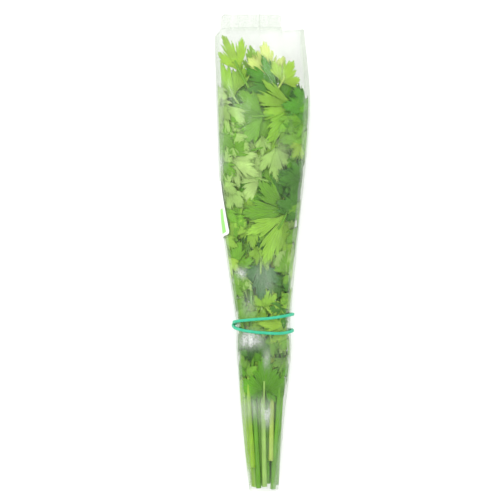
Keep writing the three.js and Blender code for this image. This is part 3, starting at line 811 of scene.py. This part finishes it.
def label_finish():
    """White sticker with one plain green stripe along its lower half."""
    look = Finish("plain_sticker")
    across, up, _ = look.parts(look.attribute("label_plan", 1))
    stripe = 1
    for place, (start, end) in ((up, STRIPE_UP), (across, STRIPE_ACROSS)):
        inside = place.between(start, start + STRIPE_SOFT)
        past = place.between(end, end + STRIPE_SOFT)
        stripe = inside * (1 - past) * stripe
    fibre = look.noise(900, 3.0)
    white = look.mix(fibre, (0.92, 0.93, 0.9, 1), (0.96, 0.96, 0.95, 1))
    colour = look.mix(stripe, white, (*linear(STRIPE_GREEN), 1))
    return look.done(look.plastic(
        Base_Color=colour, Roughness=fibre * 0.1 + 0.35, Normal=look.bump(fibre, 0.15, 0.0001)))


def floor_finish():
    """Pale, even floor with a glow of its own, so its shadows stay soft."""
    look = Finish("pale_floor")
    cloud = look.noise(3)
    colour = look.mix(cloud, (0.52, 0.52, 0.52, 1), (0.54, 0.54, 0.54, 1))
    return look.done(look.plastic(
        Base_Color=colour, Roughness=0.9, Emission_Color=WHITE, Emission_Strength=0.58))


LEAF_TOP = leaf_finish("parsley_blade", 0.0, 0.42)
LEAF_UNDER = leaf_finish("parsley_blade_underside", 0.16, 0.5)
STALK = stalk_finish()
CUT = cut_finish()
FILM = film_finish()
RUBBER = band_finish()
PAPER = label_finish()

# ---- building the fronds

def frond_pieces():
    """Dresses each frond: its leaves in one piece, its stalk and stalklets in another."""
    for _, _, leaves in FRONDS:
        for one in leaves:
            settle_leaf(one)
    lines = [centre_lines(number) for number in range(len(FRONDS))]
    settle_lines([line for group in lines for line in group])
    for number, (_, tint, leaves) in enumerate(FRONDS):
        node = f"frond_{number + 1:02d}"
        blades = leaves_piece(f"{node}_leaves", FINE, leaves, random.Random(100 + number))
        stalks = strands_piece(f"{node}_stalks", [(line, tint) for line in lines[number]])
        for piece in (blades, stalks):
            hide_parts(node)


# Cut stalks without leaves of their own, beside the fronds' stalks: points (x, y, height), tint.
LOOSE_STALKS = [
    ([(-7.4, -171, 6.5), (-10.2, -150, 8.2), (-12.5, -125, 9), (-14.6, -100, 10.5), (-14.5, -86, 12)],
     "yellow"),
    ([(-5.9, -172, 10), (-8.2, -150, 11.5), (-10.7, -125, 12), (-12.2, -100, 13), (-12, -84, 13)], "yellow"),
    ([(-6.4, -158, 14.4), (-7, -147, 15), (-8.6, -125, 15.6), (-9.6, -100, 16), (-9, -84, 15)], "yellow"),
    ([(10.4, -171, 8), (11.3, -150, 10), (12.8, -125, 11.5), (14.2, -100, 12), (14, -84, 12)], "vivid"),
    ([(8, -174, 11.2), (9.2, -147, 13.6), (11.2, -125, 15), (12.2, -100, 15.4), (12, -84, 15)], "vivid"),
]


def loose_stalks():
    """The cut stalks that belong to no frond, in one piece."""
    strands = [(dict(points=np.array(points, float), free=len(points) + 1), tint)
               for points, tint in LOOSE_STALKS]
    strands_piece("loose_stalks", strands)


# ---- leaves packed inside

# Smaller leaves of the same fronds, between the ones against the film: base X and Y, heading,
# length, layer, tint and half spread.
LOOSE_LEAVES = [
    (24, 105, -80, 40, 0.5, "fresh", 34), (10, 76, 178, 27, 1.5, "sage", 62),
    (22, 36, 20, 28, 1.2, "deep", 52), (19, 112, -20, 17, 3, "deep", 60),
    (2, 128, -38, 19, 3, "yellow", 60),
    (12, 119, -62, 33, 1.3, "shade", 46), (-11, 112, 30, 22, 3, "mid", 75), (9, 106, -20, 24, 5, "leafy", 80),
    (-2, 116, -40, 18, 5, "mid", 70), (12, 100, -6, 24, 4, "leafy", 80), (-4, 102, -12, 24, 5, "mid", 80),
    (15, 84, 178, 24, 3, "sage", 70), (6, 92, 180, 26, 4.6, "deep", 80), (3, 46, 170, 26, 4, "deep", 80),
    (-17, 12, 172, 20, 3, "lime", 66), (-12, -22, 140, 15, 3, "mid", 70), (5, -24, -160, 16, 4, "leafy", 70),
    (-6, -45, -90, 12, 3, "dark", 70), (0, -97, -142, 17, 0.4, "leafy", 38),
    (3, -97, 142, 17, 0.4, "leafy", 38), (14, -61, 176, 17, 1.6, "fresh", 56),
    (-10, -66, 172, 15, 0.5, "dark", 62), (0, -64, 178, 14, 0.7, "deep", 55),
    (-22.5, 67, 118, 27, 0.2, "hazy", 58), (-3, 73, -85, 26, 0.9, "sage", 50),
    (29, 78, -140, 14, -0.7, "lime", 60), (30, 94, -115, 17, -0.6, "wide", 60),
    (2, 3, 178, 18, 0.9, "sage", 60), (-4, 4, 178, 15, 0.6, "fresh", 55), (-5, -41, -95, 12, 0.7, "sage", 42),
    (0, 84, 176, 16, 1.2, "sage", 50), (-8, 22, 178, 22, 0.9, "fresh", 60),
    (17, -65, 172, 15, 0.9, "sage", 70), (8, -50, 175, 18, 2, "fresh", 60),
    (-9, -49, 178, 16, 2, "yellow", 60),
    (-11, -34.7, -90, 9, 1.5, "dark", 70), (-8, 62, -30, 22, 4, "mid", 75), (6, 62, 30, 22, 4.6, "leafy", 75),
    (-10, 26, 20, 24, 4.6, "deep", 75),
]
# More of them where a flank would show bare film: share of the half girth, Y, heading, length, tint.
FLANK_FILLERS = [
    (0.47, 90, 176, 28, "mid"), (0.5, 64, 4, 26, "leafy"), (-0.46, 68, 182, 26, "wide"),
    (-0.5, 42, -4, 26, "sage"), (-0.5, -22, 178, 22, "mid"), (0.5, -28, 182, 22, "mid"),
    (0.48, -62, 180, 18, "mid"), (-0.48, -82, 184, 16, "leafy"), (0.48, -82, 176, 16, "leafy"),
    (-0.48, -60, 180, 16, "deep"), (-0.47, 108, 176, 24, "sage"), (0.5, 114, 176, 24, "leafy"),
    (-0.5, 14, 178, 24, "fresh"), (0.5, 20, 178, 26, "mid"), (0.48, -44, 2, 18, "fresh"),
    (-0.48, -44, -2, 18, "mid"), (-0.44, 34, 184, 24, "wide"), (-0.43, 54, 186, 24, "sage"),
    (-0.47, -2, 182, 22, "lime"), (-0.46, 88, 178, 26, "wide"), (-0.49, 122, 180, 22, "hazy"),
    (0.47, 38, 180, 22, "mid"), (0.42, 52, -84, 20, "deep"), (0.42, 33, -86, 20, "deep"),
    (0.43, 104, -88, 24, "shade"), (0.43, 80, -86, 24, "mid"),
]
FILLER_LAYER = -0.45
# Leaves that hug the film along the two flanks: tints of the left and right ones, from Y on up.
FLANK_TINTS = [
    (-94, "mid", "leafy"), (-78, "deep", "mid"), (-60, "mid", "fresh"), (-40, "mid", "deep"),
    (-20, "wide", "mid"), (0, "fresh", "sage"), (22, "wide", "deep"), (44, "sage", "dark"),
    (66, "wide", "leafy"), (88, "sage", "mid"), (110, "hazy", "leafy"),
]
FLANK_FROM = -92.0
FLANK_TO = 118.0
FLANK_TURN = 84.0  # leaves from here on up all point to the cut ends
FLANK_STEP = 5.0
FLANK_SHARES = (0.36, 0.5, 0.43, 0.54)
FLANK_LAYERS = (-0.1, 0.2, 0.9, 1.5)
INNER_FROM = -88.0
INNER_TO = 106.0
INNER_ROW = 10.0
INNER_STEP = 21.0
INNER_LAYERS = (3.4, 4.6, 2.4, 5.6)
NARROW_LAYERS = (2.4, 3.2, 1.6, 3.9)
WIDE_FROM = 12.0
INNER_TINTS = ["mid", "leafy", "fresh", "leafy", "mid", "deep", "fresh", "mid"]


def scattered_leaves(draw):
    """Leaves all round the bunch, row by row, in four layers that take turns."""
    found = []
    rows = int((INNER_TO - INNER_FROM) / INNER_ROW) + 1
    for row in range(rows):
        y = INNER_FROM + row * INNER_ROW
        layers = INNER_LAYERS if y > WIDE_FROM else NARROW_LAYERS
        columns = max(3, round(2 * float(half_girth_at(y)) / INNER_STEP))
        for column in range(columns):
            length = draw.uniform(24, 31) if y > WIDE_FROM else draw.uniform(17, 22)
            share = -1 + 2 * (column + 0.5 * (row % 2) + draw.uniform(-0.15, 0.15)) / columns
            found.append(under_leaf(
                share, y + draw.uniform(-4, 4), draw.uniform(-55, 55), length,
                layers[(row % 2) * 2 + column % 2], draw.choice(INNER_TINTS), half=draw.uniform(66, 88)))
    return found


def flank_leaves(draw):
    """Leaves against the film along both flanks, in four rows that take turns."""
    found = []
    for step, y in enumerate(np.arange(FLANK_FROM, FLANK_TO, FLANK_STEP)):
        tints = [row[1:] for row in FLANK_TINTS if row[0] <= y][-1]
        for side, tint in zip((-1, 1), tints):
            lane = (step + (side > 0)) % len(FLANK_SHARES)
            share = side * FLANK_SHARES[lane]
            heading = draw.uniform(-16, 16) + (180 if y > FLANK_TURN else draw.choice((0, 180)))
            length = draw.uniform(0.68, 0.82) * along(HALF_WIDTH, y) + 3
            found.append(under_leaf(
                share, y, heading, length, FLANK_LAYERS[lane], tint, half=draw.uniform(66, 86)))
    return found


def inner_leaves():
    """The leaves that fill the bunch behind and between the ones against the film."""
    draw = random.Random(41)
    loose = [leaf(*row) for row in LOOSE_LEAVES]
    flanks = flank_leaves(draw)
    flanks.extend(under_leaf(*place, FILLER_LAYER, tint) for *place, tint in FLANK_FILLERS)
    scattered = scattered_leaves(draw)
    groups = {
        "loose_leaves": loose,
        "left_leaves": [one for one in flanks if one["share"] < 0],
        "right_leaves": [one for one in flanks if one["share"] > 0],
        "lower_inner_leaves": [one for one in scattered if one["y"] < WIDE_FROM],
        "upper_inner_leaves": [one for one in scattered if one["y"] >= WIDE_FROM],
    }
    for name, leaves in groups.items():
        for one in leaves:
            settle_leaf(one)
        piece = leaves_piece(name, PLAIN, leaves, draw)


# ---- film sleeve

FILM_THICKNESS = 0.1
FILM_DEPTH = 0.1
SEAM_GAP = 0.01
LEAST_HEIGHT = 0.02
CREASE_SHARE = 0.6
PLEAT_REACH = 17
PLEAT_HEIGHT = 0.5
END_REACH = 9
END_FLARE = 0.8
LIP_LEFT = -30.7
LIP_RIGHT = 15.3
LIP_CORNER = 5.0
MOUTH_DROP_LEFT = 6.0
MOUTH_DROP_RIGHT = 0.4

# Long soft creases: place round the sleeve, from Y, to Y, sideways drift, height, width (mm).
CREASES = [
    (-0.52, -60, 60, 0.1, 0.7, 1.6), (-0.40, -20, 110, -0.06, 0.5, 2.2), (-0.18, -95, -20, 0.1, 0.5, 1.5),
    (0.05, -150, -70, 0.03, 0.4, 1.6), (0.20, 60, 160, -0.05, 0.4, 2.5), (0.34, -45, 60, 0.08, 0.6, 1.6),
    (0.47, -120, 10, 0.05, 0.6, 1.5), (0.52, 20, 150, -0.03, 0.6, 2.0), (-0.30, 90, 163, 0.04, 0.5, 2.4),
    (0, 128, 163, 0, 0.7, 1.4), (-0.55, 60, 163, -0.02, 0.6, 2.2), (-0.33, -165, -100, 0.06, 0.5, 1.4),
    (0.38, -170, -95, -0.04, 0.5, 1.4), (0.75, -100, 90, 0.06, 0.5, 2.0), (-0.78, -80, 120, -0.05, 0.5, 2.0),
]


def film_relief(share, y):
    """How far the film stands off its smooth shape; share is the place round it, -1 to 1."""
    girth = share * half_girth_at(y)
    relief = 0.12 * np.sin(girth * 0.33 + y * 0.06) * np.sin(y * 0.11 + girth * 0.05)
    relief += 0.07 * np.sin(girth * 0.9 - y * 0.21) * np.sin(y * 0.31)
    for place, start, end, drift, height, width in CREASES:
        run = np.clip((y - start) / (end - start), 0, 1)
        fade = np.sin(run * math.pi) ** 0.6
        off = girth - (place + drift * (run - 0.5)) * half_girth_at(y)
        relief += height * CREASE_SHARE * fade * np.exp(-np.abs(off / width) ** 1.3)
    near = np.exp(-((y - BAND_Y) / PLEAT_REACH) ** 2)
    pleats = np.abs(np.sin(share * 23 + 0.8 * np.sin(share * 9))) ** 0.7 - 0.45
    relief += PLEAT_HEIGHT * near * pleats * (1 - np.exp(-((y - BAND_Y + 1) / 5) ** 2))
    ends = np.exp((y - MOUTH) / END_REACH) + np.exp((CUT_END - y) / END_REACH)
    relief += END_FLARE * ends * np.sin(share * 11 + 0.7) * np.sin(share * 3 + 1)
    under = np.clip((np.abs(share) - 0.72) / 0.1, 0, 1)
    return relief * (1 - under) + 0.1


def mouth_at(share):
    """Y of the wide end round the sleeve: the cut edge of the top sheet, and the lip below."""
    half = half_girth_at(MOUTH)
    girth = share * half
    flank = np.exp(-((np.abs(share) - 0.5) / 0.09) ** 2)
    edge = MOUTH - flank * np.where(share < 0, MOUTH_DROP_LEFT, MOUTH_DROP_RIGHT)
    row = row_of(MOUTH)
    quarter = HALF_STEPS // 2
    under_x = RING_X[row, quarter:][::-1]
    under_length = RING_LENGTH[row, quarter:][::-1]
    middle = along(MIDDLE_X, MOUTH)
    left = -np.interp(middle - LIP_LEFT, under_x, under_length)
    right = np.interp(LIP_RIGHT - middle, under_x, under_length)
    inside = np.minimum(np.where(girth > 0, girth - right, girth + 2 * half - right),
                        np.where(girth < 0, left - girth, left - girth + 2 * half))
    corner = np.clip(LIP_CORNER - inside, 0, LIP_CORNER)
    lip = LIP_END - (LIP_CORNER - np.sqrt(np.maximum(LIP_CORNER**2 - corner**2, 0)))
    return np.where(inside > 0, lip, edge)


# Milky places on the film, most of them painted glare and sheen off its crumpled creases, the rest fogging of
# the film itself: place round it, Y, half size round it (share) and along it (mm), strength.
HAZE_AND_GLARE = [
    (-0.13, -115, 0.28, 8, 0.3), (0.06, -121, 0.09, 8, 0.3), (-0.2, -64, 0.17, 6, 0.7),
    (0.04, -78, 0.05, 7, 0.35), (-0.26, -15, 0.07, 4, 0.5), (0.02, -20, 0.15, 11, 0.17),
    (-0.2, -40, 0.1, 10, 0.15),
    (-0.49, 112, 0.08, 34, 0.05), (-0.44, 44, 0.1, 30, 0.05), (-0.36, -134, 0.1, 14, 0.05),
    (0.05, 45, 0.5, 60, 0.01), (-0.4, -166, 0.1, 8, 0.5), (-0.42, 64, 0.06, 7, 0.3),
    (-0.36, 114, 0.1, 13, 0.1),
]
CLEAR_HAZE = 0.006
LIP_HAZE = 0.24


def film_haze_and_glare(share, y):
    """How milky the film is, painted glare and sheen included: on its lip and in the places listed."""
    haze = CLEAR_HAZE + LIP_HAZE * np.clip((y - MOUTH + 3) / 5, 0, 1)
    for place, at, half_round, half_long, strength in HAZE_AND_GLARE:
        away = np.abs((share - place) / half_round) ** 2.5 + np.abs((y - at) / half_long) ** 2.5
        haze = haze + strength * np.exp(-away)
    return haze


def sleeve_piece():
    """The whole film, from the cut end to its mouth and lip."""
    pattern, across, ahead = sheet_pattern(columns=160, rows=210)
    y = CUT_END + (mouth_at(across) - CUT_END) * ahead
    girth = across * half_girth_at(y)
    points = off_shell(girth, y, FILM_DEPTH, film_relief(across, y))
    points[:, 2] = np.maximum(points[:, 2], LEAST_HEIGHT)
    bm = bmesh.new()
    haze_layer = bm.verts.layers.float.new("film_haze_and_glare")
    lay_sheet(bm, pattern, points, [(haze_layer, film_haze_and_glare(across, y))])
    bmesh.ops.remove_doubles(bm, verts=bm.verts, dist=SEAM_GAP)
    piece = new_piece("film_sleeve", bm, FILM)
    thicken(piece, FILM_THICKNESS)
    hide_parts("sleeve")


# ---- rubber band

# Y of each turn at shares of the way round, from the crossing on the lower left flank.
BAND_TURNS = [
    [(0, -52.6), (0.097, -51.5), (0.347, -48.8), (0.597, -45.6), (0.85, -48.5), (1, -52.6)],
    [(0, -52.6), (0.097, -54.8), (0.4, -59.3), (0.597, -57.7), (0.85, -56.5), (1, -52.6)],
]
BAND_START = math.radians(-125)
BAND_HOP = 0.12
BAND_HOP_HEIGHT = 2 * BAND_RADIUS + 0.6
BAND_SIDES = 14
BAND_STEPS = 300
BAND_SQUARED = 0.93


def at_angle(angle, y):
    """Points of the smooth sleeve by angle from the top rather than by arc length."""
    x, z = oval(angle, y)
    return np.stack([along(MIDDLE_X, y) + x, y, z], axis=-1)


def band_line():
    """Centre of the band, twice round, and the way off the sleeve at each place."""
    travel = np.arange(BAND_STEPS) / BAND_STEPS * 2
    second = travel >= 1
    y = np.where(second, along(BAND_TURNS[1], travel - 1), along(BAND_TURNS[0], travel))
    angle = BAND_START + 2 * math.pi * travel
    step = 0.02
    sideways = at_angle(angle + step, y) - at_angle(angle - step, y)
    lengthways = at_angle(angle, y + 1) - at_angle(angle, y - 1)
    out = unit(np.cross(sideways, lengthways))
    near = np.minimum(1, np.abs(travel - 1) / BAND_HOP)
    hop = BAND_HOP_HEIGHT * np.cos(near * math.pi / 2) ** 2
    return at_angle(angle, y) + out * (BAND_RADIUS + BAND_GAP + hop)[:, None], out


def band_piece():
    """The band: a cord of squared section along its line."""
    centres, out = band_line()
    tangents = unit(np.roll(centres, -1, axis=0) - np.roll(centres, 1, axis=0))
    side = unit(np.cross(tangents, out))
    off = np.cross(side, tangents)
    pattern, across, ahead = sheet_pattern(BAND_SIDES, BAND_STEPS)
    ring = np.rint(ahead * BAND_STEPS).astype(int) % BAND_STEPS
    angle = across * math.pi
    corner = 1 / (np.abs(np.cos(angle)) ** 4 + np.abs(np.sin(angle)) ** 4) ** 0.25
    radius = BAND_RADIUS * corner * BAND_SQUARED
    points = round_line(centres, off, side, ring, angle, radius)
    bm = bmesh.new()
    lay_sheet(bm, pattern, points)
    bmesh.ops.remove_doubles(bm, verts=bm.verts, dist=SEAM_GAP)
    bmesh.ops.recalc_face_normals(bm, faces=bm.faces)
    piece = new_piece("rubber_band", bm, RUBBER)
    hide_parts("band")


# ---- label

LABEL_LOW = (-23.4, 12.8)
LABEL_HIGH = (-29.7, 52.0)
LABEL_WIDTH = 26.0
LABEL_THICK = 0.2
LABEL_GAP = 0.12
LABEL_CORNER = 2.4


def label_piece():
    """The sticker, folded round the left flank."""
    pattern, across, ahead = sheet_pattern(columns=40, rows=48)
    low = girth_of(*LABEL_LOW, 0)
    length = LABEL_HIGH[1] - LABEL_LOW[1]
    lean = (girth_of(*LABEL_HIGH, 0) - low) / length
    wide = (across + 1) / 2 * LABEL_WIDTH
    corner = np.clip(LABEL_CORNER - np.minimum(wide, LABEL_WIDTH - wide), 0, LABEL_CORNER)
    inset = LABEL_CORNER - np.sqrt(LABEL_CORNER**2 - corner**2)
    up = inset + ahead * (length - 2 * inset)
    girth = low + lean * up - wide
    y = LABEL_LOW[1] + up + lean * wide
    rise = film_relief(girth / half_girth_at(y), y) + LABEL_GAP
    points = off_shell(girth, y, FILM_DEPTH, rise)
    bm = bmesh.new()
    plan_layer = bm.verts.layers.float_vector.new("label_plan")
    plan = np.stack([wide, up, np.zeros_like(up)], axis=1)
    lay_sheet(bm, pattern, points, [(plan_layer, plan)])
    bmesh.ops.reverse_faces(bm, faces=bm.faces)
    piece = new_piece("plain_label", bm, PAPER)
    thicken(piece, LABEL_THICK, offset=1)
    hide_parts("label")


# ---- floor, light and camera

FLOOR_HALF = 3.0  # metres, as are the places and sizes of the softboxes
FLOOR_DROP = 0.0003
SOFTBOX_POWER = 4


def floor():
    """The plain floor that the bunch lies on."""
    bm = bmesh.new()
    bmesh.ops.create_grid(bm, x_segments=2, y_segments=2, size=FLOOR_HALF)
    ground = mesh_object("floor", bm, floor_finish())
    ground.location.z = -FLOOR_DROP


def softbox(name, place, size):
    """A square-cornered lamp turned to the middle of the floor."""
    light = bpy.data.lights.new(name, "AREA")
    light.shape = "RECTANGLE"
    light.size, light.size_y = size
    light.energy = SOFTBOX_POWER
    lamp = bpy.data.objects.new(name, light)
    lamp.location = place
    x, y, z = place
    lamp.rotation_euler = (math.atan2(math.hypot(x, y), z), 0, math.atan2(x, -y))
    show(lamp)


def studio():
    """Even white light all round, with two softboxes for the film's gleam."""
    world = bpy.data.worlds.new("studio")
    world.use_nodes = True
    background = world.node_tree.nodes["Background"]
    background.inputs["Color"].default_value = WHITE
    background.inputs["Strength"].default_value = 1.0
    bpy.context.scene.world = world
    softbox("left_box", (-0.8, 0.3, 1.2), (0.35, 0.9))
    softbox("top_box", (0.25, 0.9, 1.4), (0.7, 0.35))
    bpy.context.scene.view_settings.view_transform = "Standard"


FRAME_WIDTH = 365.0
FRAME_CENTRE = (-8.8, 1.1)
CAMERA_HEIGHT = 1600.0
EYE_LEVEL = 17.0


def camera():
    """Looks straight down on the bunch."""
    lens = bpy.data.cameras.new("camera")
    lens.sensor_width = 36
    lens.lens = lens.sensor_width * (CAMERA_HEIGHT - EYE_LEVEL) / FRAME_WIDTH
    lens.clip_start, lens.clip_end = 0.05, 10
    eye = bpy.data.objects.new("camera", lens)
    eye.location = [place * MM for place in (*FRAME_CENTRE, CAMERA_HEIGHT)]
    show(eye)
    bpy.context.scene.camera = eye


camera()
studio()
floor()
frond_pieces()
loose_stalks()
inner_leaves()
sleeve_piece()
band_piece()
label_piece()
